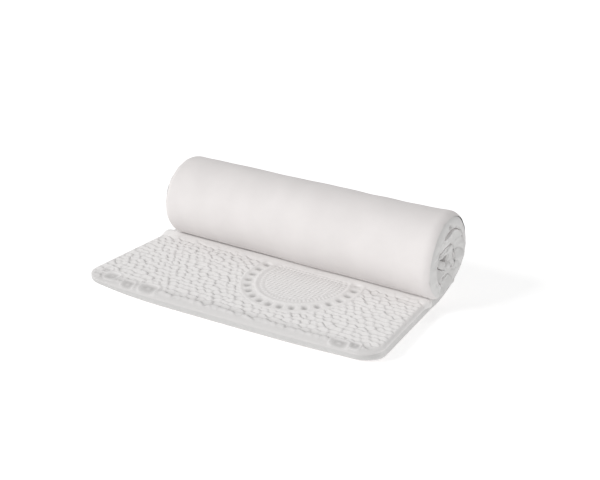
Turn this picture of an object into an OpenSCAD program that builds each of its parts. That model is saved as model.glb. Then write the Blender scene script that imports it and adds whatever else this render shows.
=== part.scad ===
// Memory foam mattress, part rolled: the front lies flat with its quilted side up
// and the rest is wound into a roll with the quilted side inwards.
// +X runs along the roll, +Y from the free front edge to the roll, +Z is up.
// The origin is on the underside, in the middle of the flat stretch.

/* [Mattress] */
// Width, measured along the roll
width = 1050; // [900:10:1600]
// Thickness of cover and foam together
thickness = 50; // [45:1:70]
// Plan radius of the front corners
corner_r = 70; // [40:5:90]

/* [Foam] */
// Thickness of the firm base foam
base_foam_t = 15; // [8:1:20]

/* [Cover] */
// Thickness of the knitted cover cloth
cloth_t = 1.2; // [0.8:0.1:1.6]
// Thickness of the soft wadding under the quilted top cloth
wadding_t = 3; // [2:0.5:5]
// Thickness of the thin knitted sleeve around the foam
liner_t = 0.6; // [0.4:0.1:1]

/* [Roll] */
// Length of the stretch that lies flat in front of the roll
flat_length = 490; // [470:5:600]
// Turns in the roll; this many make the unrolled mattress about 2000 mm long
turns = 3.125; // [2.6:0.005:3.3]
// Turns before the foam starts to be squeezed by the tight winding
loose_turns = 1.5; // [1.2:0.1:2]
// Thickness left at the inner end, as a share of the full thickness
core_squeeze = 0.5; // [0.45:0.05:0.8]
// Smallest radius left inside the innermost turn
core_r = 2; // [1:0.5:10]
// Gap between one turn and the next
turn_gap = 1.5; // [0.4:0.1:3]
// How far the middle of the front edge sits left of the roll's middle
front_shift = 14; // [0:1:20]
// Angle by which the flat stretch is turned out of square with the roll
lean = 3.2; // [0:0.1:4]

/* [Zip] */
// Length of the inspection zip in the left side
zip_length = 260; // [160:10:260]
// Width of one zip tape beyond the coils
tape_width = 12; // [9:0.5:14]
// Length of the pull tab
pull_length = 30; // [20:1:40]

/* [Hidden] */

// Heights of the layers, from the underside up
liner_bottom = cloth_t;
base_bottom = liner_bottom + liner_t;
memory_bottom = base_bottom + base_foam_t;
wadding_top = thickness - cloth_t;
wadding_bottom = wadding_top - wadding_t;
memory_top = wadding_bottom - liner_t;

// The spiral: each turn comes inwards by the thickness of the turn outside it and one gap
pitch = thickness + turn_gap;
pitch_per_rad = pitch / (2 * PI);
whole_turn = 360 * turns;
squeeze_turn = 360 * loose_turns;
tangent_r = core_r + core_squeeze * thickness + wound_in(whole_turn);
spiral_lead = atan(pitch_per_rad / tangent_r);
roll_centre = [flat_length + tangent_r * sin(spiral_lead), tangent_r * cos(spiral_lead)];
turn_step = 10;
flat_overlap = 1;

// The flat stretch swings back into line with the roll over this length
rejoin_length = 60;
square_end = 2;
corner_step = 9;

// Zip sizes
zip_z = thickness / 2;
zip_start = 150;
clearance = 0.3;
tape_t = 0.6;
coil_gap = 1.2;
coil_width = 2.6;
coil_t = 2;
slider_length = 12;
slider_half = 4.5;
plate_t = 1;
back_plate_t = 0.6;
post_width = coil_gap - 2 * clearance;
stop_length = 4;
stop_t = 0.8;
post_length = 3;
slider_start = stop_length + 2;
slot_half = 6;
front_plate_out = tape_t + coil_t + clearance;
crown_out = front_plate_out + plate_t;
pull_bar_r = 0.6;
pull_axis_out = crown_out + clearance + pull_bar_r;
crown_half = 1.2;
crown_inner = 1.3;
crown_foot = 1.2;
crown_t = 1;
pull_inner_half = 2;
pull_half = 3.6;
pull_hole_r = 1.5;
pull_hole_from_end = 4;
pull_window = 8;
cut_margin = 1;
label_width = 45;
label_height = 32;
label_t = 0.4;
label_from_zip = 12;
// Room left for the sewing thread between the side cloth and what is sewn to it
thread_room = 0.05;

quilt_colour = "WhiteSmoke";
cloth_colour = "Gainsboro";
foam_colour = "Ivory";
base_colour = "LightSteelBlue";
metal_colour = "Silver";

// ---- The flat stretch in plan ----

// How far the middle line lies to the side of the roll's middle, v behind the front edge
function free_drift(v) = -front_shift - v * tan(lean);
function ease(x) = x * x * (3 - 2 * x);
function drift(v) =
    let (start = flat_length - rejoin_length, end = flat_length - square_end)
    v <= start ? free_drift(v)
    : v >= end ? 0
    : free_drift(v) * (1 - ease((v - start) / (end - start)));

// u across and v along the unrolled mattress, to a place on the floor
function plan(u, v) = [
    u + drift(v),
    v + u * tan(lean) * (1 - v / flat_length)
];

// The side lines bend at quarters of the rejoining stretch
rejoin_step = rejoin_length / 4;
side_stations = concat(
    [corner_r],
    [for (back = [rejoin_length : -rejoin_step : rejoin_step]) flat_length - back],
    [flat_length - square_end, flat_length]
);

function reversed(list) = [for (i = [len(list) - 1 : -1 : 0]) list[i]];

// The side lines run from the front corner to the roll; hand is -1 for left, 1 for right
function side_line(hand, inset) =
    [for (v = side_stations) plan(hand * (width / 2 - inset), v)];

// The front line runs from the left corner's end to the right corner's end
function corner_line(hand, inset) = [
    for (a = [0 : corner_step : 90])
        plan(hand * (width / 2 - corner_r + (corner_r - inset) * cos(a)),
             corner_r - (corner_r - inset) * sin(a))
];
function front_line(inset) =
    concat(corner_line(-1, inset), reversed(corner_line(1, inset)));

function whole_edge(inset) =
    concat(reversed(side_line(-1, inset)), front_line(inset), side_line(1, inset));

module flat_slab(bottom, top, inset) {
    translate([0, 0, bottom]) linear_extrude(top - bottom) polygon(whole_edge(inset));
}

module flat_wall(outer_line, inner_line, bottom, top) {
    translate([0, 0, bottom]) linear_extrude(top - bottom)
        polygon(concat(outer_line, reversed(inner_line)));
}

// ---- The roll in section: y along the floor, z up ----

// Share of the thickness left after the roll has turned this far
function squeeze(turned) = turned < squeeze_turn ? 1
    : 1 - (1 - core_squeeze) * (turned - squeeze_turn) / (whole_turn - squeeze_turn);
function squeeze_slope(turned) = turned < squeeze_turn ? 0
    : -(1 - core_squeeze) / (whole_turn - squeeze_turn) * 180 / PI;

// How far the outer face has come in towards the middle
function wound_in(turned) = turned < 360 ? pitch * turned / 360
    : wound_in(turned - 360) + thickness * squeeze(turned - 360) + turn_gap;
function wound_in_slope(turned) = turned < 360 ? pitch_per_rad
    : wound_in_slope(turned - 360) + thickness * squeeze_slope(turned - 360);

function spiral_r(turned) = tangent_r - wound_in(turned);
function spiral_angle(turned) = turned - 90 - spiral_lead;
function along(turned) =
    let (a = spiral_angle(turned), r = spiral_r(turned), inward = wound_in_slope(turned))
    let (d = [-r * sin(a) - inward * cos(a), r * cos(a) - inward * sin(a)])
    d / norm(d);

// A point at the height h in the mattress, after the roll has turned this far
function spiral_point(turned, h) =
    let (a = spiral_angle(turned), d = along(turned))
    roll_centre + spiral_r(turned) * [cos(a), sin(a)] + h * squeeze(turned) * [-d[1], d[0]];

// Every layer bends at the same places, so that neighbours meet face to face
end_middle_r = core_r + core_squeeze * thickness / 2;
inside_turn = whole_turn - cloth_t / end_middle_r * 180 / PI;
turn_stations = concat([for (t = [0 : turn_step : inside_turn - 0.5]) t], [inside_turn]);

function band(bottom, top, stations) = concat(
    [for (t = stations) spiral_point(t, bottom)],
    reversed([for (t = stations) spiral_point(t, top)])
);

module along_roll(left, right) {
    translate([left, 0, 0]) rotate([90, 0, 90]) linear_extrude(right - left) children();
}

// A band from the flat stretch to the end of the roll; whole adds the last cloth_t
module rolled_band(bottom, top, left, right, whole) {
    stations = whole ? concat(turn_stations, [whole_turn]) : turn_stations;
    along_roll(left, right) polygon(concat(
        [[flat_length - flat_overlap, bottom]],
        band(bottom, top, stations),
        [[flat_length - flat_overlap, top]]
    ));
}

// One layer of the mattress, from the front edge to the middle of the roll
module layer(bottom, top, inset, whole = false) {
    translate([0, -flat_length / 2, 0]) {
        flat_slab(bottom, top, inset);
        rolled_band(bottom, top, inset - width / 2, width / 2 - inset, whole);
    }
}

// ---- Cover and foam ----

module bottom_panel() {
    color(cloth_colour) layer(0, cloth_t, 0, whole = true);
}

module top_panel() {
    color(quilt_colour) layer(wadding_top, thickness, 0, whole = true);
}

module top_wadding() {
    color("white") layer(wadding_bottom, wadding_top, cloth_t);
}

module memory_foam() {
    color(foam_colour) layer(memory_bottom, memory_top, cloth_t + liner_t);
}

module base_foam() {
    color(base_colour) layer(base_bottom, memory_bottom, cloth_t + liner_t);
}

// A sleeve round the foam, open at the end that lies in the middle of the roll
module foam_liner() {
    inner = cloth_t + liner_t;
    edge = width / 2 - cloth_t;
    color("Snow") {
        layer(liner_bottom, base_bottom, cloth_t);
        layer(memory_top, wadding_bottom, cloth_t);
        translate([0, -flat_length / 2, 0]) {
            flat_wall(whole_edge(cloth_t), whole_edge(inner), base_bottom, memory_top);
            rolled_band(base_bottom, memory_top, -edge, liner_t - edge, false);
            rolled_band(base_bottom, memory_top, edge - liner_t, edge, false);
        }
    }
}

// A strip of cloth up one long side, on the flat stretch and on round the roll's end
module side_border(hand) {
    edge = hand * width / 2;
    inner_edge = edge - hand * cloth_t;
    translate([0, -flat_length / 2, 0]) {
        flat_wall(side_line(hand, 0), side_line(hand, cloth_t), cloth_t, wadding_top);
        rolled_band(cloth_t, wadding_top, min(edge, inner_edge), max(edge, inner_edge), true);
    }
}

module border_left() {
    color(cloth_colour) difference() {
        side_border(-1);
        on_zip() translate([-cloth_t, 0, -slot_half])
            cube([3 * cloth_t, zip_length, 2 * slot_half]);
    }
}

module border_right() {
    color(cloth_colour) side_border(1);
}

module border_front() {
    color(cloth_colour) translate([0, -flat_length / 2, 0])
        flat_wall(front_line(0), front_line(cloth_t), cloth_t, wadding_top);
}

module border_inner_end() {
    edge = width / 2 - cloth_t;
    color(cloth_colour) translate([0, -flat_length / 2, 0])
        along_roll(-edge, edge)
            polygon(band(cloth_t, wadding_top, [inside_turn, whole_turn]));
}

// ---- Zip: y runs along it and -x points out of the mattress's left side ----

zip_foot = plan(-width / 2, zip_start);
zip_head = plan(-width / 2, zip_start + zip_length);
zip_turn = atan2(zip_foot[0] - zip_head[0], zip_head[1] - zip_foot[1]);

module on_zip() {
    translate([zip_foot[0], zip_foot[1] - flat_length / 2, zip_z])
        rotate([0, 0, zip_turn]) children();
}

// A block between two distances out from the side, two along the zip and two heights
module zip_block(out, run, height) {
    translate([-out[1], run[0], height[0]])
        cube([out[1] - out[0], run[1] - run[0], height[1] - height[0]]);
}

function sided(hand, low, high) = hand > 0 ? [low, high] : [-high, -low];

module zip_tape(hand) {
    color("GhostWhite") on_zip()
        zip_block([thread_room, tape_t], [0, zip_length], sided(hand, coil_gap / 2, tape_width));
}

module zip_coil(hand) {
    color("White") on_zip()
        zip_block([tape_t, tape_t + coil_t], [0, zip_length],
                  sided(hand, coil_gap / 2, coil_gap / 2 + coil_width));
}

module zip_tape_upper() { zip_tape(1); }
module zip_tape_lower() { zip_tape(-1); }
module zip_coil_upper() { zip_coil(1); }
module zip_coil_lower() { zip_coil(-1); }

// A metal staple clenched over both coils
module zip_stop(run) {
    reach = coil_gap / 2 + coil_width;
    over = tape_t + coil_t;
    color(metal_colour) on_zip() {
        zip_block([over, over + stop_t], [run, run + stop_length],
                  [-reach - stop_t, reach + stop_t]);
        for (hand = [-1, 1])
            zip_block([tape_t, over], [run, run + stop_length],
                      sided(hand, reach, reach + stop_t));
    }
}

module zip_stop_front() { zip_stop(0); }
module zip_stop_rear() { zip_stop(zip_length - stop_length); }

// Two plates joined by a post between the coils, with a crown that holds the pull tab
module zip_slider() {
    middle = slider_start + slider_length / 2;
    ends = [slider_start, slider_start + slider_length];
    back_out = -clearance;
    color(metal_colour) on_zip() {
        zip_block([back_out - back_plate_t, back_out], ends, [-slider_half, slider_half]);
        zip_block([front_plate_out, crown_out], ends, [-slider_half, slider_half]);
        zip_block([back_out - back_plate_t, crown_out], [ends[1] - post_length, ends[1]],
                  [-post_width / 2, post_width / 2]);
        for (hand = [-1, 1])
            zip_block([tape_t + clearance, front_plate_out], ends,
                      sided(hand, coil_gap / 2 + coil_width + clearance, slider_half));
        crown_reach = crown_inner + crown_foot;
        crown_roof = pull_axis_out + pull_bar_r + clearance;
        for (start = [middle - crown_reach, middle + crown_inner])
            zip_block([crown_out, crown_roof], [start, start + crown_foot],
                      [-crown_half, crown_half]);
        zip_block([crown_roof, crown_roof + crown_t],
                  [middle - crown_reach, middle + crown_reach], [-crown_half, crown_half]);
    }
}

// A tab with two arms and a round bar, which turns under the slider's crown
module zip_pull() {
    middle = slider_start + slider_length / 2;
    low = pull_axis_out - pull_bar_r;
    high = pull_axis_out + pull_bar_r;
    color(metal_colour) on_zip() {
        translate([-pull_axis_out, middle, -pull_half])
            cylinder(r = pull_bar_r, h = 2 * pull_half, $fn = 24);
        for (hand = [-1, 1])
            zip_block([low, high], [middle - pull_window, middle],
                      sided(hand, pull_inner_half, pull_half));
        difference() {
            zip_block([low, high], [middle - pull_length, middle - pull_window],
                      [-pull_half, pull_half]);
            translate([-high - cut_margin, middle - pull_length + pull_hole_from_end, 0])
                rotate([0, 90, 0])
                    cylinder(r = pull_hole_r, h = high - low + 2 * cut_margin, $fn = 24);
        }
    }
}

// A blank label sewn flat on the left side, in front of the zip
module care_label() {
    color("White") on_zip()
        zip_block([thread_room, label_t], [-label_width - label_from_zip, -label_from_zip],
                  [-label_height / 2, label_height / 2]);
}

bottom_panel();
top_panel();
top_wadding();
memory_foam();
base_foam();
foam_liner();
border_left();
border_right();
border_front();
border_inner_end();
zip_tape_upper();
zip_tape_lower();
zip_coil_upper();
zip_coil_lower();
zip_stop_front();
zip_stop_rear();
zip_slider();
zip_pull();
care_label();
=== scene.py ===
"""A memory foam mattress, part rolled: its cover, fillings and inspection zip, in a pale studio."""
import bmesh
import bpy
import numpy as np
from mathutils import Matrix


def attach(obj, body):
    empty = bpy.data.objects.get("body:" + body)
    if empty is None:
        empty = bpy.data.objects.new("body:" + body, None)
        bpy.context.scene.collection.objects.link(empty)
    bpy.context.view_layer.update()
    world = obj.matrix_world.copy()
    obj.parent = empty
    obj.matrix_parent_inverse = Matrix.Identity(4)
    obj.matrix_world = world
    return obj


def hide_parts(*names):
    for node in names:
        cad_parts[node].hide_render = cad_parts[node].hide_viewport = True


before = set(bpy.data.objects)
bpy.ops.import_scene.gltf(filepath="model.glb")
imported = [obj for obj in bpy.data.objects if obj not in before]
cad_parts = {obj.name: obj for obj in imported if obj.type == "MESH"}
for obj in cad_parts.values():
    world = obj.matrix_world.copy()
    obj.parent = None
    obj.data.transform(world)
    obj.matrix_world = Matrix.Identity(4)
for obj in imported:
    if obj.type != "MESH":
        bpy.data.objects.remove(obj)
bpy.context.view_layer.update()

# ---- The camera ----
# It stands in front and to the right, looks a little down, and is turned slightly about its own axis.
azimuth, elevation, tilt = np.radians([30.6005, 20.9165, 2.3708])
look_at = np.array([0.0065, 0.1949, 0.1473])
CAMERA_DISTANCE = 3.0221
backwards = np.array([np.sin(azimuth) * np.cos(elevation), -np.cos(azimuth) * np.cos(elevation),
                      np.sin(elevation)])
level = np.cross([0, 0, 1], backwards)
level /= np.linalg.norm(level)
over = np.cross(backwards, level)
camera = bpy.data.objects.new("camera", bpy.data.cameras.new("camera"))
camera.data.sensor_width = 36
camera.data.lens = 53.961
camera.matrix_world = Matrix(np.vstack([np.column_stack([
    np.cos(tilt) * level + np.sin(tilt) * over, -np.sin(tilt) * level + np.cos(tilt) * over,
    backwards, look_at + CAMERA_DISTANCE * backwards]), [0, 0, 0, 1]]).tolist())
bpy.context.scene.collection.objects.link(camera)
bpy.context.scene.camera = camera

# ---- The bottom cloth ----
# The real piece is one length of plain off-white polyester jersey, the outside of the roll.
# It is a light knit, sewn to the border all round and pulled smooth over the foam, with soft dents.
WIDTH, THICK, CORNER = 1.05, 0.05, 0.07
FLAT, TURNS, LOOSE_TURNS, CORE_SHARE = 0.49, 3.125, 1.5, 0.5
CORE_R, TURN_GAP = 0.002, 0.0015
# The flat stretch lies SHIFT to the left where it starts, and turned by LEAN
SHIFT, LEAN = 0.014, np.radians(3.2)
REJOIN_FROM, REJOIN_TO = FLAT - 0.02, FLAT + 0.25
WOUND, LOOSE = 360 * TURNS, 360 * LOOSE_TURNS
HALF = WIDTH / 2 - CORNER


def ease(x):
    """Nought below 0, one above 1, and a smooth S between: 3x squared less 2x cubed."""
    x = np.clip(x, 0, 1)
    return x * x * (3 - 2 * x)


def unit(vectors):
    """Vectors scaled to length one."""
    return vectors / np.linalg.norm(vectors, axis=-1, keepdims=True)


def squeeze(turned):
    """Share of the thickness left: one for the loose turns, then down evenly to CORE_SHARE."""
    return 1 - (1 - CORE_SHARE) * np.clip((turned - LOOSE) / (WOUND - LOOSE), 0, 1)


def wound_in(turned):
    """How far the outer face has come in: even for one turn, then a thickness and a gap more each turn."""
    first = (THICK + TURN_GAP) * turned / 360
    if not (turned > 360).any():
        return first
    before = np.maximum(turned - 360, 0)
    return np.where(turned < 360, first, wound_in(before) + THICK * squeeze(before) + TURN_GAP)


turned = np.linspace(0, WOUND, 4501)
tangent_r = CORE_R + CORE_SHARE * THICK + wound_in(np.array([WOUND]))[0]
lead = np.arctan((THICK + TURN_GAP) / (2 * np.pi) / tangent_r)
roll_centre = np.array([FLAT + tangent_r * np.sin(lead), tangent_r * np.cos(lead)])
spin = np.radians(turned - 90) - lead
spokes = np.column_stack([np.cos(spin), np.sin(spin)])
face = roll_centre + (tangent_r - wound_in(turned))[:, None] * spokes
run = unit(np.gradient(face, axis=0))
inward = np.column_stack([-run[:, 1], run[:, 0]])
middle = face + inward * (squeeze(turned) * THICK / 2)[:, None]
along_roll = FLAT + np.concatenate([[0], np.cumsum(np.linalg.norm(np.diff(middle, axis=0), axis=1))])
LENGTH = along_roll[-1]
# Table of the winding: length along the mattress, place of the underside, direction to the quilted side
wind_at = np.concatenate([[-0.2], along_roll])
wind_y = np.concatenate([[-0.2], face[:, 0]]) - FLAT / 2
wind_z = np.concatenate([[0], face[:, 1]])
wind_ny = np.concatenate([[0], inward[:, 0]]) * np.concatenate([[1], squeeze(turned)])
wind_nz = np.concatenate([[1], inward[:, 1]]) * np.concatenate([[1], squeeze(turned)])
# The inner turns slide left low in front and stand proud elsewhere; the roll is narrower and further left
TELESCOPE, PROUD, NARROWER, END_SHIFT = 0.023, 0.004, 0.015, 0.001


def length_at(degrees):
    """Length along the mattress where the roll has turned this far."""
    return np.interp(degrees, turned, along_roll)


# The front corners that curl up: which side, height and reach
CORNER_LIFTS = ((-1, 0.027, 0.15), (1, 0.010, 0.20))
CRUSH_OUT, CRUSH_WAVE, CRUSH_FOLD, FOLD_SHARPNESS = 0.002, 0.007, 0.008, 0.10
CRUSH_WAVE_SIZE, CRUSH_FOLD_SIZE = 0.095, 0.075
# Where they are: this far out from the middle, and most below this height and in front of this depth
CRUSHED_FROM, LOW_BELOW, NEAR_BEFORE = 0.42, 0.30, 0.40


def wind(u, v, h):
    """Flat mattress to finished place: the flat stretch drifts sideways and turns by the lean, and behind
    it each point lies h above the underside's spiral, which comes in by one thickness and one gap a turn.
    At the front corners the underside curls up a little and the thickness gives way. At both ends the
    inner turns are crushed out and in together, by one smooth noise less folds along another's noughts."""
    lift, dies_out = 0, 1 - ease((v - 0.02) / 0.075)
    for hand, height, reach in CORNER_LIFTS:
        lift = lift + height * np.exp(-((u - hand * WIDTH / 2) / reach) ** 2) * dies_out
    h = lift + h * (1 - lift / THICK)
    drift = -(SHIFT + v * np.tan(LEAN)) * (1 - ease((v - REJOIN_FROM) / (REJOIN_TO - REJOIN_FROM)))
    drift = drift - (NARROWER * u + END_SHIFT) * ease((v - FLAT) / 0.25)
    turn = u * np.tan(LEAN) * np.clip(1 - v / FLAT, 0, 1.2)
    y = np.interp(v, wind_at, wind_y) + h * np.interp(v, wind_at, wind_ny)
    z = np.interp(v, wind_at, wind_z) + h * np.interp(v, wind_at, wind_nz)
    if np.max(v) > length_at(340):
        fold = np.exp(-(soft_waves(y, z, CRUSH_FOLD_SIZE, 23) / FOLD_SHARPNESS) ** 2)
        crushed = CRUSH_OUT + CRUSH_WAVE * soft_waves(y, z, CRUSH_WAVE_SIZE, 24) - CRUSH_FOLD * fold
        near_end = np.sign(u) * ease((np.abs(u) - CRUSHED_FROM) / 0.09)
        near_side = ease((LOW_BELOW - z) / 0.12) * ease((NEAR_BEFORE - y) / 0.16)
        slid = (TELESCOPE * near_side - PROUD) * ease((v - length_at(330)) / 0.08)
        inner = ease((v - length_at(345)) / 0.12)
        drift = drift + crushed * (0.4 + 0.6 * near_side) * near_end * inner - slid
    return np.stack(np.broadcast_arrays(u + drift, y + turn, z), -1)


def edge_path(side_steps, corner_steps, front_steps, hands=(-1, 1), front=True):
    """The line of feet one corner radius inside the edge, from the inner end down the left side, round the
    front and up the right side: foot, outward direction, share of front (1 on the front, 0 on the sides)
    and length along the edge."""
    quarter = np.linspace(0, np.pi / 2, corner_steps + 1)[1:-1]
    parts = []
    for hand in hands:
        side = np.column_stack([np.full_like(side_steps, hand * HALF), side_steps,
                                np.full_like(side_steps, hand), 0 * side_steps, 0 * side_steps])
        corner = np.column_stack([np.full_like(quarter, hand * HALF), np.full_like(quarter, CORNER),
                                  hand * np.cos(quarter), -np.sin(quarter), ease(quarter / (np.pi / 2))])
        parts.append([side[::-1], corner] if hand < 0 else [corner[::-1], side])
    if front:
        line = np.column_stack([front_steps, np.full_like(front_steps, CORNER), 0 * front_steps,
                                np.full_like(front_steps, -1), np.ones_like(front_steps)])
        rows = np.concatenate(parts[0] + [line] + parts[-1])
    else:
        rows = parts[0][0] if hands[0] < 0 else parts[-1][1]
    rim = rows[:, :2] + CORNER * rows[:, 2:4]
    gone = np.concatenate([[0], np.cumsum(np.linalg.norm(np.diff(rim, axis=0), axis=1))])
    return rows, gone


def lower_round(u, v):
    """Radius of the lower edge: small on the flat, wide on the outer turn's right end, small inside."""
    right = ease((u + HALF) / 0.15)
    outside = 0.012 + 0.008 * right + (0.016 + 0.002 * right) * ease((v - length_at(40)) / 0.25)
    tucked = ease((v - length_at(310)) / (length_at(375) - length_at(310)))
    return outside * (1 - tucked) + 0.0035 * tucked


def upper_round(v, front):
    """Radius of the upper edge: wide along the front, smaller on the sides, smallest inside the roll."""
    return 0.013 + 0.007 * front - 0.009 * ease((v - FLAT) / 0.2)


def edge_section(rows, w):
    """The cover's edge in section. w goes 0-1 along the underside, 1-2 round the lower edge, 2-3 up the
    side, 3-4 round the upper edge and 4-5 back along the top: distance out from the foot, height, the
    outward direction in section, and the cloth's length from the underside's foot."""
    v, front = rows[:, 1:2], rows[:, 4:5]
    low, high = lower_round(rows[:, 0:1], v), upper_round(v, front)
    a, b = np.clip(w - 1, 0, 1) * np.pi / 2, np.clip(w - 3, 0, 1) * np.pi / 2
    wall = THICK - low - high
    up = np.clip(w - 2, 0, 1)
    out = np.where(w < 1, (CORNER - low) * w, np.where(
        w < 3, CORNER - low + low * np.sin(a), np.where(
            w < 4, CORNER - high + high * np.cos(b), (CORNER - high) * (5 - w))))
    rise = np.where(w < 2, low * (1 - np.cos(a)), np.where(
        w < 3, low + wall * up, THICK - high + high * np.sin(b)))
    slope = a + b
    gone = ((CORNER - low) * np.clip(w, 0, 1) + low * a + wall * up + high * b
            + (CORNER - high) * np.clip(w - 4, 0, 1))
    return out, rise, np.sin(slope), -np.cos(slope), gone


def edge_cloth(path, w, from_top, relief):
    """A strip of cover along the edge: each point is its foot plus its distance out, moved along its own
    outward direction by relief(cloth u, cloth v, height, rows, w). Gives place, cloth place and relief."""
    rows, _ = path
    out, rise, push_out, push_up, gone = edge_section(rows, w)
    if from_top:
        gone = edge_section(rows, np.full_like(w, 5.0))[4] - gone
    cloth_u = rows[:, 0:1] + rows[:, 2:3] * gone
    cloth_v = rows[:, 1:2] + rows[:, 3:4] * gone
    proud = relief(cloth_u, cloth_v, rise, rows, w)
    out = out + proud * push_out
    place = wind(rows[:, 0:1] + rows[:, 2:3] * out, rows[:, 1:2] + rows[:, 3:4] * out,
                 rise + proud * push_up)
    return place, np.stack([cloth_u, cloth_v], -1), proud


def middle_cloth(across, back, height, push, relief):
    """The middle of a panel, inside the feet: a plain grid at one height, moved by its relief."""
    u, v = np.meshgrid(across, back)
    rows = np.column_stack([u.ravel(), v.ravel(), 0 * u.ravel(), 0 * u.ravel(), 0 * u.ravel()])
    proud = relief(u, v, np.full_like(u, height), rows, None)
    return wind(u, v, height + push * proud), np.stack([u, v], -1), proud


def sewn_mesh(name, grids, material, body="mattress", flip=(), closed=()):
    """Joins grids of points: a face between each four neighbours, one UV map in metres of cloth, one
    attribute for the relief, and the points where grids meet welded."""
    points, uvs, proud, faces, first = [], [], [], [], 0
    for k, (place, cloth, relief) in enumerate(grids):
        n, m = place.shape[:2]
        at = first + np.arange(n * m).reshape(n, m)
        if k in closed:
            at = np.concatenate([at, at[:, :1]], axis=1)
        quads = np.stack([at[:-1, :-1], at[1:, :-1], at[1:, 1:], at[:-1, 1:]], -1).reshape(-1, 4)
        faces.append(quads[:, ::-1] if k in flip else quads)
        points.append(place.reshape(-1, 3))
        uvs.append(cloth.reshape(-1, 2))
        proud.append(np.broadcast_to(relief, (n, m)).ravel())
        first += n * m
    points, uvs, proud, faces = map(np.concatenate, (points, uvs, proud, faces))
    mesh = bpy.data.meshes.new(name)
    mesh.from_pydata(points.tolist(), [], faces.tolist())
    corners = np.empty(len(mesh.loops), np.int32)
    mesh.loops.foreach_get("vertex_index", corners)
    mesh.uv_layers.new(name="cloth").data.foreach_set("uv", uvs[corners].astype(np.float32).ravel())
    mesh.attributes.new("relief", "FLOAT", "POINT").data.foreach_set("value", proud.astype(np.float32))
    work = bmesh.new()
    work.from_mesh(mesh)
    bmesh.ops.remove_doubles(work, verts=work.verts, dist=1e-5)
    work.to_mesh(mesh)
    work.free()
    mesh.polygons.foreach_set("use_smooth", np.ones(len(mesh.polygons), bool))
    mesh.materials.append(material)
    piece = bpy.data.objects.new(name, mesh)
    bpy.context.scene.collection.objects.link(piece)
    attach(piece, body)
    return piece


def soft_waves(x, y, size, seed, crests=14):
    """Smooth noise from -1 to 1: a mean of sine waves in random directions with wavelengths near size."""
    draw = np.random.default_rng(seed)
    turn, stretch, shift = draw.uniform(0, 2 * np.pi, (3, crests))
    total = 0
    for k in range(crests):
        wave = 2 * np.pi / size * (0.7 + 0.6 * stretch[k] / (2 * np.pi))
        total = total + np.sin(wave * (x * np.cos(turn[k]) + y * np.sin(turn[k])) + shift[k])
    return np.clip(total / np.sqrt(crests) / 1.3, -1, 1)


def to_linear(code):
    """An sRGB hex colour as linear red, green, blue and alpha."""
    parts = np.array([int(code[i:i + 2], 16) for i in (1, 3, 5)]) / 255
    linear = np.where(parts <= 0.04045, parts / 12.92, ((parts + 0.055) / 1.055) ** 2.4)
    return (*linear.tolist(), 1.0)


def add(tree, kind, inputs=(), **settings):
    """Adds one node with its settings, and sets or links its inputs; gives back the node."""
    made = tree.nodes.new("ShaderNode" + kind)
    for name, value in settings.items():
        setattr(made, name, value)
    for name, value in dict(inputs).items():
        if isinstance(value, bpy.types.NodeSocket):
            tree.links.new(value, made.inputs[name])
        else:
            made.inputs[name].default_value = value
    return made


def new_material(name, **constants):
    """A material with one principled shader, its constant values set on its own sockets."""
    material = bpy.data.materials.new(name)
    material.use_nodes = True
    shader = material.node_tree.nodes["Principled BSDF"]
    for key, value in constants.items():
        shader.inputs[key.replace("_", " ")].default_value = value
    return material, material.node_tree, shader


def ribs(tree, cloth, period, direction, distortion=0.0):
    """Waves across the cloth with this period in metres: a wave texture has 20 radians to one unit."""
    scale = 2 * np.pi / 20 / period
    return add(tree, "TexWave", {"Vector": cloth, "Scale": scale, "Distortion": distortion},
               bands_direction=direction).outputs["Fac"]


def two_tone(tree, value, dark, light, dark_at=0.0, light_at=1.0):
    """Turns a value into a colour: dark up to one place, light from another, and even between them."""
    ramp = add(tree, "ValToRGB", {"Fac": value})
    ends = ramp.color_ramp.elements
    ends[0].position, ends[0].color = dark_at, to_linear(dark)
    ends[1].position, ends[1].color = light_at, to_linear(light)
    return ramp


def painted(tree, shader, value, dark, light, light_at=1.0):
    """Colours the shader in two tones by a value."""
    ramp = two_tone(tree, value, dark, light, 0.0, light_at)
    tree.links.new(ramp.outputs["Color"], shader.inputs["Base Color"])


def bumped(tree, shader, height, strength, distance):
    """Bumps the shader's surface by a height, given the full height's size in metres."""
    bump = add(tree, "Bump", {"Strength": strength, "Distance": distance, "Height": height})
    tree.links.new(bump.outputs["Normal"], shader.inputs["Normal"])


def painted_front_shade(tree, cloth, colour, share):
    """Painted shade: darkens a colour evenly towards the front edge, down to this share, so that the
    front face looks shaded."""
    place = add(tree, "SeparateXYZ", {"Vector": cloth})
    front_shade_ramp = add(tree, "MapRange", {"Value": place.outputs["Y"], "From Min": -0.004, "From Max": 0.05,
                                    "To Min": share})
    front_shaded_colour = add(tree, "VectorMath", {0: colour}, operation="SCALE")
    tree.links.new(front_shade_ramp.outputs["Result"], front_shaded_colour.inputs["Scale"])
    return front_shaded_colour.outputs["Vector"]


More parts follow.
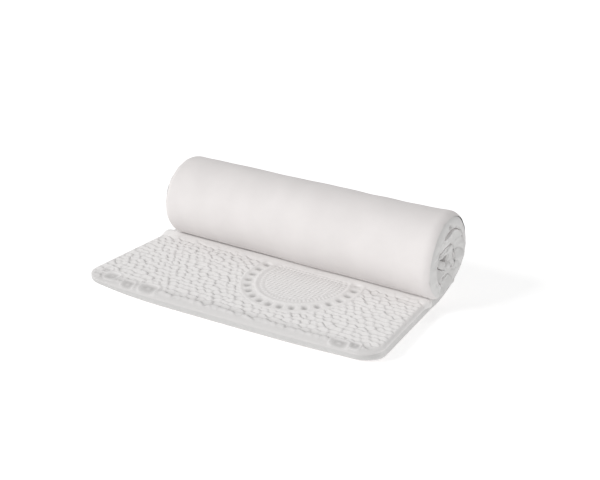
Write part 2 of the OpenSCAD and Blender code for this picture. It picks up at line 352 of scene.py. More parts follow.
def knit_material(name, dark, light, wale, depth, sheen, roughness, front_shade_share=1.0):
    """Weft-knitted jersey: columns of V-shaped loops. To the eye it is matt, soft and even, with a faint
    sheen at grazing angles. The loops are drawn twice as coarse as real ones, so that they can show."""
    material, tree, shader = new_material(name, Roughness=roughness, Sheen_Weight=sheen,
                                          Sheen_Roughness=0.5, Specular_IOR_Level=0.25, IOR=1.5)
    cloth = add(tree, "UVMap", uv_map="cloth").outputs["UV"]
    blotch = add(tree, "TexNoise", {"Vector": cloth, "Scale": 9.0, "Detail": 3.0})
    shade = two_tone(tree, blotch.outputs["Fac"], dark, light, 0.3, 0.7)
    # Painted shade: the colour darkens towards the front edge, down to the given share.
    colour = painted_front_shade(tree, cloth, shade.outputs["Color"], front_shade_share)
    tree.links.new(colour, shader.inputs["Base Color"])
    wales, courses = ribs(tree, cloth, wale, "X"), ribs(tree, cloth, wale * 0.8, "Y", 0.6)
    loops = add(tree, "Math", {0: wales, 1: courses}, operation="MULTIPLY")
    fuzz = add(tree, "TexNoise", {"Vector": cloth, "Scale": 900.0, "Detail": 2.0})
    height = add(tree, "Math", {0: loops.outputs[0], 1: fuzz.outputs["Fac"]}, operation="ADD")
    bumped(tree, shader, height.outputs[0], 0.5, depth)
    return material


jersey = knit_material("polyester_jersey_knitted", "#dedad9", "#e3dfde", 0.0018, 0.00025, 0.12, 0.85)

# The lower seam's place in section, how deep the cloths dip into a seam, and the roll's soft dents
LOWER_SEAM, SEAM_DIP = 1.55, 0.0006
BROAD_DENT, SMALL_DENT, SUNK, PUCKER = 0.0022, 0.0009, 0.0008, 0.0008


def soft_dents(u, v, h, rows, w):
    """Shallow dents where the wound foam pushes the cloth out unevenly: two sizes of soft waves, only on
    the outside of the roll, and puckers that run in from the side seams. The edge dips into its seam."""
    outside = ease((v - FLAT - 0.1) / 0.2) * (1 - ease((v - length_at(300)) / 0.1))
    broad = BROAD_DENT * soft_waves(u * 0.8, v, 0.30, 5) + SMALL_DENT * soft_waves(u, v, 0.14, 6) - SUNK
    rim = np.clip((np.abs(u) - HALF) / CORNER, 0, 1)
    pucker = PUCKER * (1 + soft_waves(u * 0.3, v, 0.035, 7)) * rim ** 2
    dip = 0 if w is None else SEAM_DIP * ease((w - LOWER_SEAM + 0.35) / 0.35)
    return outside * (broad + pucker) - dip


across = np.linspace(-HALF, HALF, 106)
back = np.concatenate([np.linspace(CORNER, FLAT, 22), np.linspace(FLAT, length_at(400), 120)[1:],
                       np.linspace(length_at(400), LENGTH, 46)[1:]])
path = edge_path(back, 10, across)
w = np.concatenate([np.linspace(0, 1, 5), np.linspace(1, LOWER_SEAM, 9)[1:]])[None, :]
bottom_panel = sewn_mesh("bottom_cloth", [
    edge_cloth(path, w, False, soft_dents), middle_cloth(across, back, 0.0, -1, soft_dents)],
    jersey)
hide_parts("bottom_panel")


# ---- The quilted top cloth ----
# The real piece is a padded jacquard double knit: soft yarn caught between two faces stands up as
# pebble-shaped pads between knitted-in grooves, with a large ring ornament, and part of another at the
# front. It turns down over the edges: half-way down the front, and just past the corner at the sides.
PAD_ACROSS, PAD_BACK, PAD_GROOVE, PAD_RISE, PAD_TILT = 0.0285, 0.0235, 0.0085, 0.0043, 0.9
RING_CENTRE = (0.118, 0.345)
# The dimples at the front edge: place across and back, half width and half length; then their relief
FRONT_DIMPLES = ((-0.470, 0.060, 0.014, 0.016), (-0.425, 0.034, 0.021, 0.022),
                 (-0.345, 0.012, 0.022, 0.020), (-0.268, 0.020, 0.029, 0.025),
                 (0.405, 0.012, 0.026, 0.018), (0.452, 0.022, 0.014, 0.016))
FRONT_DEPTH, FRONT_RIM, FRONT_MIDDLE = 0.0030, 0.0030, 0.0028
# The ring: its radius, length over width, dimples and their relief, then its rims, grooves and beads
RING_R, RING_STRETCH, RING_DIMPLES, RING_BAND, DISC_R = 0.174, 1.25, 29, 0.023, 0.118
DIMPLE_HALF, DIMPLE_DEPTH, BAND_RISE = (0.0160, 0.0130), 0.0056, 0.0008
RIM_RISE, GROOVE_DEPTH, BEADS, BEAD_RISE, DISC_BEAD, DISC_RISE = 0.0016, 0.0011, 70, 0.0016, 0.026, 0.0019
# Where the pads end towards the roll, and the swelling just in front of it: height, start and end
PRESSED_FROM, HEAVE, HEAVE_FROM, HEAVE_TO = 0.400, 0.0105, 0.395, 0.438
pad_jitter = np.random.default_rng(11).uniform(-0.34, 0.34, (61, 67, 2))


def pads(u, v):
    """Pebbles round scattered points in staggered rows: the height follows how much further the second
    nearest point is than the nearest, so it is least in the groove half-way and rounds over to one.
    Grooves between neighbours of one row are shallower. Each pebble's back is higher, like a scale's."""
    nearest = np.full(u.shape, 9.0)
    second, backness = nearest.copy(), 0 * nearest
    own, other = np.zeros(u.shape), np.zeros(u.shape)
    for down in (-1, 0, 1):
        row = np.floor(v / PAD_BACK) + down
        odd = np.mod(row, 2) / 2
        for sideways in (-1, 0, 1):
            column = np.floor(u / PAD_ACROSS - odd) + sideways
            move = pad_jitter[np.mod(row, 61).astype(int), np.mod(column, 67).astype(int)]
            aside = u - (column + 0.5 + odd + move[..., 0]) * PAD_ACROSS
            behind = v - (row + 0.5 + move[..., 1]) * PAD_BACK
            gap = np.hypot(aside, behind * 1.1)
            backness = np.where(gap < nearest, 0.4 * aside + 0.9 * behind, backness)
            other = np.where(gap < nearest, own, np.where(gap < second, behind, other))
            own = np.where(gap < nearest, behind, own)
            second = np.minimum(second, np.maximum(gap, nearest))
            nearest = np.minimum(nearest, gap)
    rows_apart = np.clip(np.abs(own - other) / PAD_BACK, 0, 1)
    full = np.clip((second - nearest) / PAD_GROOVE + 0.65 * (1 - rows_apart), 0, 1)
    return np.sin(full * np.pi / 2) * (1 + PAD_TILT * np.clip(backness / PAD_BACK, -0.6, 0.6))


def front_ornament(u, v):
    """What shows of the next ornament at the front edge: large square dimples, each with a raised rim and
    a raised middle, all functions of a cubic oval's distance out. Gives height and where it covers."""
    height, cover = 0.0, 0.0
    for at_u, at_v, half_u, half_v in FRONT_DIMPLES:
        out = ((np.abs(u - at_u) / half_u) ** 3 + (np.abs(v - at_v) / half_v) ** 3) ** (1 / 3)
        height = (height - FRONT_DEPTH * (1 - ease((out - 0.3) / 0.7))
                  + FRONT_RIM * np.exp(-((out - 1.15) / 0.17) ** 2)
                  + FRONT_MIDDLE * np.exp(-(out / 0.32) ** 2))
        cover = np.maximum(cover, 1 - ease((out - 1.3) / 0.3))
    return height, cover


def ring(u, v, centre):
    """The ornament, by radius and angle: square dimples sunk in a plain band, a light rim on each side of
    it, two grooves, a circle of beads, and a disc of fine beads. Gives height and where it covers."""
    r = np.hypot(u - centre[0], (v - centre[1]) / RING_STRETCH)
    angle = np.arctan2((v - centre[1]) / RING_STRETCH, u - centre[0])
    step = 2 * np.pi / RING_DIMPLES
    aside = (np.mod(angle, step) - step / 2) * RING_R
    out, along = np.abs(r - RING_R) / DIMPLE_HALF[0], np.abs(aside) / DIMPLE_HALF[1]
    dimple = (out ** 3 + along ** 3) ** (1 / 3)
    height = BAND_RISE - DIMPLE_DEPTH * (1 - ease(dimple - 0.1))
    for rim in (RING_R - RING_BAND, RING_R + RING_BAND):
        height = height + RIM_RISE * np.exp(-((r - rim) / 0.0040) ** 2)
    for groove in (DISC_R + 0.006, DISC_R + 0.022):
        height = height - GROOVE_DEPTH * np.exp(-((r - groove) / 0.0035) ** 2)
    beads = np.cos(angle * BEADS) * np.exp(-((r - DISC_R - 0.014) / 0.005) ** 2)
    disc = np.cos(2 * np.pi * (u + v) / DISC_BEAD) * np.cos(2 * np.pi * (u - v) / DISC_BEAD)
    disc = disc * (DISC_RISE + 0.0009 * soft_waves(u, v, 0.03, 9))
    height = height + BEAD_RISE * beads + disc * (1 - ease((r - DISC_R) / 0.004))
    return height, 1 - ease((r - RING_R - RING_BAND - 0.004) / 0.006)


def quilted(u, v, h, rows, w):
    """Pads and ornaments: full on top, dying out down the edge, and pressed flat inside the roll. A band
    swells up in front of the roll, and the sewn edge dips into its seam."""
    height = PAD_RISE * (pads(u, v) - 0.65)
    ornament, cover = ring(u, v, RING_CENTRE)
    height = height * (1 - cover) + ornament * cover
    ornament, covered = front_ornament(u, v)
    front = rows[:, 4].reshape(-1, 1) if w is not None else 0
    fade, at_front, dip = 1, 1, 0
    if w is not None:
        fade, at_front = ease((w - 3.7 + 0.3 * front) / 0.5), ease((w - 3.1) / 0.3)
        dip = SEAM_DIP * (1 - ease((w - w[:, :1]) / 0.35))
    pressed = ease((v - PRESSED_FROM) / 0.025)
    heave = HEAVE * ease((v - HEAVE_FROM) / 0.045) * (1 - ease((v - HEAVE_TO) / 0.034))
    height = height * fade * (1 - covered) + ornament * covered * at_front
    return height * (1 - pressed) - dip + heave - 0.0006 * ease((v - 0.46) / 0.03)


def upper_seam(rows):
    """The upper seam's place in section: at the foot of the upper edge, and lower down along the front."""
    return 3.0 - 0.33 * rows[:, 4:5]


FINE = 0.0034
across = np.linspace(-HALF, HALF, int(2 * HALF / FINE))
back = np.concatenate([np.linspace(CORNER, FLAT, int((FLAT - CORNER) / FINE)),
                       np.linspace(FLAT, LENGTH, 150)[1:]])
path = edge_path(back, 32, across)
start = upper_seam(path[0])
w = np.concatenate([start + (4 - start) * np.linspace(0, 1, 13), np.tile(np.linspace(4, 5, 17)[1:],
                                                                        (len(start), 1))], axis=1)
top_edge = edge_cloth(path, w, True, quilted)
top_middle = middle_cloth(across, back, THICK, 1, quilted)


def jacquard():
    """Jacquard double knit of polyester and viscose: matt, cool white, with a fine rib. Its colour carries
    painted light and shade from the relief: darker in the grooves and dimples, lighter on the raised
    pads, and painted shade darkens it towards the front edge."""
    material, tree, shader = new_material("jacquard_double_knit", Roughness=0.8, Sheen_Weight=0.15,
                                          Sheen_Roughness=0.45, Specular_IOR_Level=0.3, IOR=1.5)
    cloth = add(tree, "UVMap", uv_map="cloth").outputs["UV"]
    # Painted light and shade: the relief picks the colour, darkest in the deepest dimples and grooves and
    # lightest on the raised pads.
    depth = add(tree, "Attribute", attribute_name="relief")
    painted_relief_shade = add(tree, "MapRange", {"Value": depth.outputs["Fac"], "From Min": -DIMPLE_DEPTH,
                                  "From Max": 0.0010})
    shade = two_tone(tree, painted_relief_shade.outputs["Result"], "#b4b3b2", "#f0eeed")
    shade.color_ramp.elements.new(0.5).color = to_linear("#d9d7d6")
    # Painted shade: the colour darkens towards the front edge.
    colour = painted_front_shade(tree, cloth, shade.outputs["Color"], 0.71)
    tree.links.new(colour, shader.inputs["Base Color"])
    rib = ribs(tree, cloth, 0.0024, "X", 0.4)
    fuzz = add(tree, "TexNoise", {"Vector": cloth, "Scale": 500.0, "Detail": 3.0})
    height = add(tree, "Math", {0: rib, 1: fuzz.outputs["Fac"]}, operation="ADD")
    bumped(tree, shader, height.outputs[0], 0.5, 0.0003)
    return material


top_panel = sewn_mesh("quilted_top_cloth", [top_edge, top_middle], jacquard(),
                      flip=(1,))
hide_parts("top_panel")

# ---- The border cloth ----
# The sides are strips of a plain jersey, sewn to both panels with hidden seams. Their colour is greyer
# than the bottom cloth's as painted shade, and darkens towards the front as painted shade. On the
# flat they lie smooth. At the roll's ends the wound foam crumples them.
border_jersey_painted_shade = knit_material("polyester_jersey_border_painted_shade", "#d4d3d2", "#d9d8d7", 0.0018, 0.00025,
                              0.12, 0.85, front_shade_share=0.78)
# The small deep pit in the roll's right end, and the relief of the folds and pulls
PIT, PIT_DEPTH = (length_at(188), 0.036), 0.013
FOLD, INNER_FOLD, INNER_OUT, PULL = 0.0040, 0.002, 0.004, 0.0007


def crumple(u, v, h, rows, w):
    """Sewn edges dip into the seam. Round the front the cloth has faint upright pulls. At the roll's ends
    it bulges and is folded into ridges, which are one less the size of a soft wave, and more so inside.
    The right end has one pit, a sharp-sided oval."""
    s = rows[:, 1:2]
    low, high = w[:, :1], w[:, -1:]
    edge = np.minimum(w - low, high - w)
    dip = -SEAM_DIP * (1 - ease(edge / 0.25))
    inside = 1 - np.exp(-(edge / 0.3) ** 2)
    wound = ease((s - FLAT) / 0.15)
    inner = ease((s - length_at(330)) / 0.15)
    round_it = rows[:, 0:1] + CORNER * rows[:, 2:3]
    pull = PULL * (soft_waves(round_it + s, h * 0.25, 0.03, 21) - 1) * (1 - wound)
    ridge = 1 - np.abs(soft_waves(s + h * 0.7, h * 0.9 - s * 0.3, 0.06, 22))
    pit = np.exp(-((s - PIT[0]) / 0.011) ** 4 - ((h - PIT[1]) / 0.006) ** 4) * (rows[:, 0:1] > 0)
    rough = (FOLD + INNER_FOLD * inner) * (ridge - 0.75) - 0.001 - PIT_DEPTH * pit + INNER_OUT * inner
    return dip + inside * (pull + wound * rough)


side_back = np.concatenate([np.linspace(CORNER, FLAT, 90), np.linspace(FLAT, LENGTH, 460)[1:]])
ZIP_FROM, ZIP_LENGTH = 0.150, 0.260
slot_to = ZIP_FROM + ZIP_LENGTH / np.hypot(np.tan(LEAN), 1 + WIDTH / 2 / FLAT * np.tan(LEAN))
SLOT_LOW, SLOT_HIGH = 0.019, 0.031


def border(name, path, rows_of_w, node):
    """A border strip: from the lower seam up to the upper seam along its part of the edge."""
    strip = edge_cloth(path, rows_of_w, False, crumple)
    piece = sewn_mesh(name, [strip], border_jersey_painted_shade)
    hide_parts(node)
    return piece


def between_seams(path, steps):
    """Stations up the border from the lower seam to the upper seam, closer together near the seams."""
    share = (1 - np.cos(np.linspace(0, np.pi, steps))) / 2
    return LOWER_SEAM + (upper_seam(path[0]) - LOWER_SEAM) * share[None, :]


path = edge_path(side_back, 2, across, hands=(1,), front=False)
right = border("border_cloth_right", path, between_seams(path, 17), "border_right")

front_path = edge_path(np.array([CORNER]), 24, np.linspace(-HALF, HALF, 260))
front = border("border_cloth_front", front_path, between_seams(front_path, 15), "border_front")

# The left strip has a slot for the zip: its stations lie on the slot's own edges, with no faces between
slot_rows = np.concatenate([np.linspace(CORNER, ZIP_FROM, 16), np.linspace(ZIP_FROM, slot_to, 60)[1:],
                            np.linspace(slot_to, FLAT, 20)[1:], np.linspace(FLAT, LENGTH, 460)[1:]])
path = edge_path(slot_rows, 2, across, hands=(-1,), front=False)
wall_low, wall_high = lower_round(-HALF, CORNER), THICK - upper_round(CORNER, 0)
slot_w = [2 + (at - wall_low) / (wall_high - wall_low) for at in (SLOT_LOW, SLOT_HIGH)]
w = np.concatenate([np.linspace(LOWER_SEAM, slot_w[0], 8), np.linspace(*slot_w, 5)[1:],
                    np.linspace(slot_w[1], 3, 5)[1:]])[None, :] * np.ones((len(path[0]), 1))
place, cloth, proud = edge_cloth(path, w, False, crumple)
first, last = np.searchsorted(-path[0][:, 1], [-slot_to - 1e-6, -ZIP_FROM - 1e-6])
left = sewn_mesh("border_cloth_left", [
    (place[:first + 1], cloth[:first + 1], proud[:first + 1]), (place[last:], cloth[last:], proud[last:]),
    (place[first:last + 1, :8], cloth[first:last + 1, :8], proud[first:last + 1, :8]),
    (place[first:last + 1, 11:], cloth[first:last + 1, 11:], proud[first:last + 1, 11:])],
    border_jersey_painted_shade)
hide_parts("border_left")

# The inner end is a cap across the squeezed end in the middle of the roll
shares = np.concatenate([np.linspace(0, 0.06, 8), np.linspace(0.06, 0.94, 60)[1:],
                         np.linspace(0.94, 1, 8)[1:]])
end_rows = np.array([[HALF, LENGTH, 1.0, 0.0, 0.0]])
w = np.linspace(0, 5, 31)[None, :]
out, rise = (part.ravel() for part in edge_section(end_rows, w)[:2])
width = (HALF + out)[:, None] * (2 * shares[None, :] - 1)
end_height = np.broadcast_to(rise[:, None], width.shape)
inner_end = sewn_mesh("border_cloth_inner_end", [
    (wind(width, LENGTH, end_height), np.stack([width, end_height], -1), 0.0)], border_jersey_painted_shade)
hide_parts("border_inner_end")

# ---- The fillings ----
# From the top down: needled polyester wadding, poured memory foam cut to a slab, and a firmer base foam
# glued under it. They are cut to the plan of the cover, a little smaller, and wound up with it.


def filling(name, low_h, high_h, inset, material, node, cap=True):
    """A slab between two heights: its side is the cover's own edge in section less the inset, so that it
    follows the rounded edges, and its inner end is closed by a flat cap."""
    across = np.linspace(-HALF, HALF, 15)
    back = np.concatenate([np.linspace(CORNER, FLAT, 15), np.linspace(FLAT, LENGTH - inset, 200)[1:]])
    rows, gone = edge_path(back, 8, across)
    v, front = rows[:, 1:2], rows[:, 4:5]
    low, high = lower_round(rows[:, 0:1], v), upper_round(v, front)
    h = np.linspace(low_h, high_h, 7)[None, :]
    under, above = np.clip(low - h, 0, low), np.clip(h - THICK + high, 0, high)
    inset = inset + 0.010 * ease((v - FLAT) / 0.1) + 0.006 * front
    out = CORNER - inset - low + np.sqrt(low ** 2 - under ** 2) - high + np.sqrt(high ** 2 - above ** 2)
    out = np.pad(out, ((0, 0), (1, 1)))
    h = np.pad(np.broadcast_to(h, (len(v), 7)), ((0, 0), (1, 1)), mode="edge")
    plan_u, plan_v = rows[:, 0:1] + rows[:, 2:3] * out, v + rows[:, 3:4] * out
    edge = (wind(plan_u, plan_v, h), np.stack([gone[:, None] + 0 * h, h + out], -1), 0.0)
    u, s = np.meshgrid(across, back)
    faces = [(wind(u, s, level), np.stack([u, s], -1), 0.0) for level in (low_h, high_h)]
    grids = [edge] + faces
    if cap:
        ends = out[-1][1:-1, None]
        u = np.concatenate([-HALF - ends, np.tile(across, (7, 1)), HALF + ends], axis=1)
        level = np.broadcast_to(h[-1][1:-1, None], u.shape)
        grids.append((wind(u, back[-1], level), np.stack([u, level], -1), 0.0))
    piece = sewn_mesh(name, grids, material, flip=(2,))
    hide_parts(node)
    return piece


def foam_material(name, cell, dark, light, depth, roughness):
    """Open-cell polyurethane foam: a matt cut face full of small round cells, with painted shade in each.
    The cells are drawn several times as large as real ones, so that they can show."""
    material, tree, shader = new_material(name, Roughness=roughness, Specular_IOR_Level=0.2, IOR=1.45)
    place = add(tree, "TexCoord").outputs["Object"]
    cells = add(tree, "TexVoronoi", {"Vector": place, "Scale": 1 / cell})
    # Painted shade: each cell is darkest at its middle, where its hollow lies.
    painted(tree, shader, cells.outputs["Distance"], dark, light, 0.5)
    bumped(tree, shader, cells.outputs["Distance"], 0.6, depth)
    return material


def wadding_material():
    """Needled polyester wadding: white, matt and fluffy, a tangle of fine fibres with thin patches."""
    material, tree, shader = new_material("polyester_wadding", Roughness=0.95, Sheen_Weight=0.3,
                                          Specular_IOR_Level=0.15, IOR=1.5)
    place = add(tree, "TexCoord").outputs["Object"]
    stretched = add(tree, "Mapping", {"Vector": place, "Scale": (60.0, 400.0, 400.0)})
    fibres = add(tree, "TexNoise", {"Vector": stretched.outputs["Vector"], "Scale": 1.0, "Detail": 5.0,
                                    "Distortion": 1.5})
    painted(tree, shader, fibres.outputs["Fac"], "#dcdcda", "#f4f4f2")
    bumped(tree, shader, fibres.outputs["Fac"], 0.7, 0.0006)
    return material


wadding = filling("wadding", 0.0428, 0.0434, 0.0045, wadding_material(), "top_wadding")
memory = filling("memory_foam_layer", 0.0168, 0.0422, 0.0046,
                 foam_material("viscoelastic_foam", 0.0011, "#d9cfae", "#f1e9cf", 0.0003, 0.8),
                 "memory_foam")
base = filling("base_foam_layer", 0.0050, 0.0168, 0.0046,
               foam_material("polyurethane_base_foam", 0.0016, "#b7c3cf", "#dbe3ea", 0.0004, 0.9),
               "base_foam")

# ---- The foam's liner ----
# A thin knitted sleeve, open at the inner end, which keeps the foam clean when the cover is off.
liner_knit = knit_material("thin_warp_knitted_liner", "#dfe0e0", "#ececec", 0.0012, 0.0001, 0.05, 0.9)
liner = filling("foam_liner_sleeve", 0.0044, 0.0425, 0.004, liner_knit, "foam_liner",
                cap=False)

# ---- The inspection zip ----
# A nylon coil zip let into the left side, for taking the foam out: two ribbed woven tapes sewn over the
# slot in the border, a spiral of nylon thread on each, a staple at each end, and a die-cast slider.
run_dir = unit(np.array([-np.tan(LEAN), 1 + WIDTH / 2 / FLAT * np.tan(LEAN), 0.0]))
out_dir = np.array([-run_dir[1], run_dir[0], 0.0])
zip_foot = wind(-WIDTH / 2, ZIP_FROM, THICK / 2)
MM = 0.001
# In millimetres from here on: the tapes' edges, face and back; the coils' ends, centre and reach
TAPE_IN, TAPE_OUT, TAPE_BACK, TAPE_FACE = 0.6, 12.0, 0.05, 0.6
COIL_FROM, COIL_LENGTH, COIL_UP, COIL_OUT, COIL_HALF_UP, COIL_HALF_OUT = 2, 256, 1.9, 1.6, 0.98, 0.68
COIL_PITCH, COIL_POINTS, THREAD_R = 1.55, 12, 0.3


def on_zip(run, up, out):
    """Zip millimetres (along it to the back, up, and out from the side) to finished place."""
    run, up, out = np.broadcast_arrays(run, up, out)
    return zip_foot + MM * (run[..., None] * run_dir + out[..., None] * out_dir
                            + up[..., None] * np.array([0, 0, 1.0]))


TAPE_RIB = 0.0007


def woven_tape():
    """Woven polyester tape: a firm matt ribbon with a fine cross rib, and a faint sheen on its threads."""
    material, tree, shader = new_material("woven_polyester_tape", Roughness=0.7, Sheen_Weight=0.2,
                                          Specular_IOR_Level=0.3)
    cloth = add(tree, "UVMap", uv_map="cloth").outputs["UV"]
    weft, warp = ribs(tree, cloth, TAPE_RIB, "X"), ribs(tree, cloth, TAPE_RIB * 1.5, "Y")
    weave = add(tree, "Math", {0: weft, 1: warp}, operation="MULTIPLY")
    painted(tree, shader, weave.outputs[0], "#d2d2d0", "#ededeb")
    bumped(tree, shader, weave.outputs[0], 0.6, 0.00015)
    return material


tape_cloth = woven_tape()


def ribbon(name, runs, ups, outs, material, node, steps=(120, 7)):
    """A flat woven piece: a closed loop in section (front, edge, back, edge) carried along its run, with
    its ends drawn shut. Its front is crowned by a tenth of a millimetre."""
    share = np.linspace(0, 1, steps[1])
    up = ups[0] + (ups[1] - ups[0]) * share
    up = np.concatenate([up, up[::-1]])
    crown = np.concatenate([outs[1] - 0.12 * (2 * share - 1) ** 4, np.full(steps[1], outs[0])])
    run = np.linspace(runs[0], runs[1], steps[0])[:, None]
    front = on_zip(run, up[None, :], crown[None, :])
    ends = [on_zip(np.full((2, 1), end), np.stack([up, up[::-1]])[:, :steps[1]],
                   np.stack([crown, crown[::-1]])[:, :steps[1]]) for end in runs]
    uv = MM * np.stack(np.broadcast_arrays(run, up[None, :]), -1)
    flat_uv = MM * np.stack([np.tile(up[:steps[1]], (2, 1)), np.tile([[0.0], [1.0]], (1, steps[1]))], -1)
    piece = sewn_mesh(name, [(front, uv, 0.0), (ends[0], flat_uv, 0.0), (ends[1], flat_uv, 0.0)],
                      material, closed=(0,), flip=(2,))
    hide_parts(node)
    return piece


for hand, side in ((1, "upper"), (-1, "lower")):
    ups = (TAPE_IN, TAPE_OUT) if hand > 0 else (-TAPE_OUT, -TAPE_IN)
    tape = ribbon(f"zip_tape_{side}_woven", (0, ZIP_LENGTH / MM), ups, (TAPE_BACK, TAPE_FACE), tape_cloth,
                  f"zip_tape_{side}")


def rounded_box(steps, power):
    """Points round a rounded box: the angle, and powers of its cosine and sine."""
    turn = np.linspace(0, 2 * np.pi, steps + 1)[:-1]
    c, s = np.cos(turn), np.sin(turn)
    return turn, np.sign(c) * np.abs(c) ** (2 / power), np.sign(s) * np.abs(s) ** (2 / power)


def section_cloth(points, turn):
    """Cloth places for a swept part: a millimetre a station one way, and a millimetre a radian the other."""
    return np.stack(np.broadcast_arrays(np.arange(len(points))[:, None] * MM, turn * MM), -1)


def swept(line, frame_a, frame_b, half_a, half_b, around, power=2.0):
    """A rounded section carried along a line: round the line the point is half_a times a power of the
    cosine along frame_a plus half_b times the same power of the sine along frame_b. Both ends close."""
    turn, c, s = rounded_box(around, power)
    size_a, size_b = np.broadcast_to(half_a, len(line)), np.broadcast_to(half_b, len(line))
    points = (line[:, None] + (size_a[:, None] * c)[..., None] * frame_a[:, None]
              + (size_b[:, None] * s)[..., None] * frame_b[:, None])
    points = np.concatenate([np.broadcast_to(line[0], points[:1].shape), points,
                             np.broadcast_to(line[-1], points[:1].shape)])
    return points, section_cloth(points, turn), 0.0


def nylon():
    """Nylon monofilament: smooth and slightly waxy, with a soft highlight along each loop."""
    material, tree, shader = new_material("nylon_monofilament", Roughness=0.35, IOR=1.53,
                                          Subsurface_Weight=0.1)
    place = add(tree, "TexCoord").outputs["Object"]
    cloud = add(tree, "TexNoise", {"Vector": place, "Scale": 250.0, "Detail": 2.0})
    painted(tree, shader, cloud.outputs["Fac"], "#dededc", "#f0f0ee")
    return material


monofilament = nylon()
for hand, side in ((1, "upper"), (-1, "lower")):
    turns = COIL_LENGTH / COIL_PITCH
    angle = np.linspace(0, 2 * np.pi * turns, int(turns * COIL_POINTS))
    line = on_zip(COIL_FROM + angle / (2 * np.pi) * COIL_PITCH,
                  hand * (COIL_UP + COIL_HALF_UP * np.cos(angle)), COIL_OUT + COIL_HALF_OUT * np.sin(angle))
    way = unit(np.gradient(line, axis=0))
    first = unit(np.cross(way, run_dir))
    coil = sewn_mesh(f"zip_coil_{side}_spiral", [
        swept(line, first, np.cross(way, first), THREAD_R * MM, THREAD_R * MM, around=5)],
        monofilament)
    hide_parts(f"zip_coil_{side}")


def zinc():
    """Die-cast zinc, tumbled and nickel-plated: a soft silvery gloss with fine random scratches."""
    material, tree, shader = new_material("nickel_plated_die_cast_zinc", Metallic=1.0)
    place = add(tree, "TexCoord").outputs["Object"]
    cloud = add(tree, "TexNoise", {"Vector": place, "Scale": 420.0, "Detail": 4.0})
    painted(tree, shader, cloud.outputs["Fac"], "#a9a9a6", "#cfcfcb")
    worn = add(tree, "MapRange", {"Value": cloud.outputs["Fac"], "To Min": 0.25, "To Max": 0.45})
    tree.links.new(worn.outputs["Result"], shader.inputs["Roughness"])
    bumped(tree, shader, cloud.outputs["Fac"], 0.2, 0.0001)
    return material


plated = zinc()
UP = np.array([0, 0, 1.0])


def bar(points, half_a, half_b, across, around=12, power=5.0):
    """A rounded bar through the points (zip millimetres), with half_a along the across direction."""
    line = on_zip(*np.array(points, float).T)
    way = unit(np.gradient(line, axis=0))
    a = unit(across - (way @ across)[:, None] * way)
    half_a, half_b = np.multiply(half_a, MM), np.multiply(half_b, MM)
    return swept(line, a, np.cross(way, a), half_a, half_b, around, power)


def tapered(n, blunt):
    """Sizes along a bar: one less an eighth power of the place along it, down to blunt at the ends."""
    x = np.linspace(-1, 1, n)
    return 1 - np.abs(x) ** 8 * (1 - blunt)


BAR_STEPS = 15
STAPLE_HALF_UP, STAPLE_FOOT, STAPLE_RISE, STAPLE_HALF, WIRE_HALF = 3.7, 0.9, 2.1, 1.9, 0.36
for run, side in ((COIL_FROM, "front"), (COIL_FROM + COIL_LENGTH, "rear")):
    staple = [(run, STAPLE_HALF_UP * a, STAPLE_FOOT + STAPLE_RISE * (1 - abs(a) ** 6))
              for a in np.linspace(-1, 1, BAR_STEPS)]
    stop = sewn_mesh(f"zip_stop_{side}_staple", [
        bar(staple, STAPLE_HALF * tapered(BAR_STEPS, 0.8), WIRE_HALF, run_dir)], plated)
    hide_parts(f"zip_stop_{side}")

# The slider: a back plate and a crowned front plate joined by a post, with flanges round the coils
# and a crown bridge that holds the pull tab
SLIDER_MIDDLE, SLIDER_HALF, PLATE_HALF, PLATE_NARROWER = 12, 6, 4.4, 0.7
FACE_PLATE, BACK_PLATE, POST_RUN, CROWN_FOOT, CROWN_RISE, CROWN_HALF = 3.4, -0.6, 16.6, 3.7, 2.65, 3.0
spots = np.linspace(SLIDER_MIDDLE - SLIDER_HALF, SLIDER_MIDDLE + SLIDER_HALF, BAR_STEPS)
plate_half = PLATE_HALF - PLATE_NARROWER * ease((SLIDER_MIDDLE - spots) / 8)
plate_up, plate_end = plate_half * tapered(BAR_STEPS, 0.7), tapered(BAR_STEPS, 0.5)
slider_parts = [
    bar([(s, 0, FACE_PLATE + 0.12 * np.cos((s - SLIDER_MIDDLE) / SLIDER_HALF)) for s in spots], plate_up,
        0.5 * plate_end, UP, around=20, power=4),
    bar([(s, 0, BACK_PLATE) for s in spots], plate_up, 0.3 * plate_end, UP, around=20),
    bar([(POST_RUN, 0, o) for o in np.linspace(BACK_PLATE, FACE_PLATE, 6)], 0.28, 1.3, UP),
    bar([(SLIDER_MIDDLE + CROWN_HALF * np.cos(t), 0, CROWN_FOOT + CROWN_RISE * np.sin(t) ** 0.6)
         for t in np.linspace(0, np.pi, 17)], 1.15, 0.45, UP, power=4)]
for hand in (-1, 1):
    slider_parts.append(bar([(s, hand * (h - 0.45), 2.1) for s, h in zip(spots, plate_half)], 0.4,
                            1.15 * tapered(BAR_STEPS, 0.6), UP))
slider = sewn_mesh("zip_slider_body", slider_parts, plated, body="slider")
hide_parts("zip_slider")


def tab_ring(outer, inner, half_out):
    """A flat ring between two closed outlines: its section is a rounded box from one to the other."""
    turn, c, s = rounded_box(12, 5)
    middle, half = (outer + inner) / 2, (outer - inner) / 2
    flat = middle[:, None] + half[:, None] * c[None, :, None]
    points = on_zip(flat[..., 0], flat[..., 1], PULL_OUT + half_out * s[None, :])
    points = np.concatenate([points, points[:1]])
    return points, section_cloth(points, turn), 0.0


def rounded_outline(from_run, to_run, half_up, power, taper=0.0):
    """A closed outline: a rounded box, narrower towards its front by the taper."""
    _, c, s = rounded_box(48, power)
    return np.column_stack([(from_run + to_run) / 2 + (to_run - from_run) / 2 * c,
                            half_up * s * (1 + taper * c)])


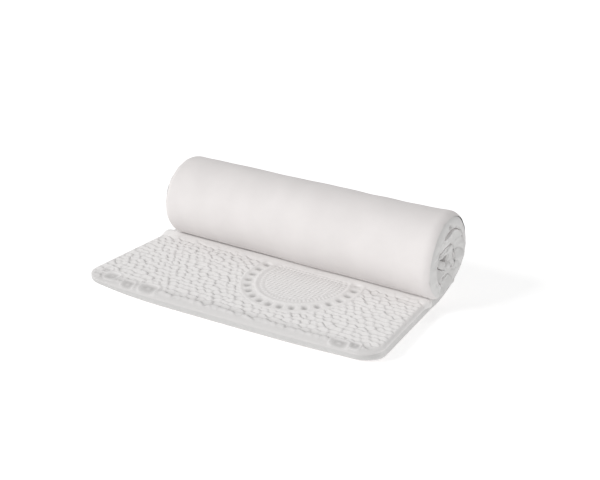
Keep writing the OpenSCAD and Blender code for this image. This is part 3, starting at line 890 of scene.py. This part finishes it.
PULL_OUT, PULL_HALF = 4.8, 3.55
pull_parts = [
    bar([(SLIDER_MIDDLE, z, PULL_OUT) for z in np.linspace(-3.4, 3.4, 9)], 0.58, 0.58, run_dir, power=2.0),
    tab_ring(rounded_outline(2.0, 12.6, PULL_HALF, 5), rounded_outline(4.2, 11.4, 2.1, 5), 0.55),
    tab_ring(rounded_outline(-17.9, 4.0, PULL_HALF, 5, 0.06), rounded_outline(-15.5, -12.5, 1.5, 2), 0.6)]
pull = sewn_mesh("zip_pull_tab", pull_parts, plated, body="pull", closed=(1, 2))
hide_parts("zip_pull")

# ---- The label ----
# A blank satin care label, sewn on the left side in front of the zip: a soft polyester ribbon with a
# slight lustre and cut edges. It carries no print.
satin, tree, shader = new_material("woven_polyester_satin", Roughness=0.42, Sheen_Weight=0.3,
                                   Specular_IOR_Level=0.5, Anisotropic=0.3)
cloth = add(tree, "UVMap", uv_map="cloth").outputs["UV"]
floats = ribs(tree, cloth, 0.0006, "Y", 1.0)
painted(tree, shader, floats, "#d2d2d0", "#e0e0de")
bumped(tree, shader, floats, 0.4, 0.0001)
LABEL_RUN, LABEL_HALF_UP, LABEL_FACE = (-57, -12), 16, 0.4
label = ribbon("care_label_blank", LABEL_RUN, (-LABEL_HALF_UP, LABEL_HALF_UP), (TAPE_BACK, LABEL_FACE),
               satin, "care_label", steps=(24, 9))

# ---- The studio ----
# A wide pale table top of opal acrylic, faintly lit from below, soft light from all round, and one large
# soft lamp from the left in front, so that the right end and the back fall off a little.
board, tree, shader = new_material("opal_light_table", Roughness=0.9, Specular_IOR_Level=0.1,
                                   Emission_Color=(1.0, 1.0, 1.0, 1.0), Emission_Strength=0.36)
place = add(tree, "TexCoord").outputs["Object"]
roller = add(tree, "TexNoise", {"Vector": place, "Scale": 3.0, "Detail": 3.0})
painted(tree, shader, roller.outputs["Fac"], "#fafafa", "#fdfdfd")
FLOOR_HALF, FLOOR_STEPS, FLOOR_Z = 30, 13, -0.0005
reach = np.linspace(-FLOOR_HALF, FLOOR_HALF, FLOOR_STEPS)
floor_x, floor_y = np.meshgrid(reach, reach)
floor_mesh = bpy.data.meshes.new("floor")
number = np.arange(FLOOR_STEPS ** 2).reshape(FLOOR_STEPS, FLOOR_STEPS)
tiles = np.stack([number[:-1, :-1], number[:-1, 1:], number[1:, 1:], number[1:, :-1]], -1)
floor_mesh.from_pydata(
    np.stack([floor_x, floor_y, np.full_like(floor_x, FLOOR_Z)], -1).reshape(-1, 3).tolist(), [],
    tiles.reshape(-1, 4).tolist())
floor_mesh.materials.append(board)
floor = bpy.data.objects.new("floor", floor_mesh)
bpy.context.scene.collection.objects.link(floor)

world = bpy.data.worlds.new("soft_studio")
bpy.context.scene.world = world
world.use_nodes = True
world.node_tree.nodes["Background"].inputs["Color"].default_value = (1.0, 1.0, 1.0, 1.0)
world.node_tree.nodes["Background"].inputs["Strength"].default_value = 0.61

key = bpy.data.objects.new("key_lamp", bpy.data.lights.new("key_lamp", "SUN"))
key.data.angle, key.data.energy = np.radians(24), 1.5
towards = unit(np.array([-0.50, -0.78, 0.48]))
key_side = unit(np.cross([0, 0, 1], towards))
key.matrix_world = Matrix(np.vstack([np.column_stack([
    key_side, np.cross(towards, key_side), towards, 3 * towards]), [0, 0, 0, 1]]).tolist())
bpy.context.scene.collection.objects.link(key)
bpy.context.scene.view_settings.view_transform = "Standard"
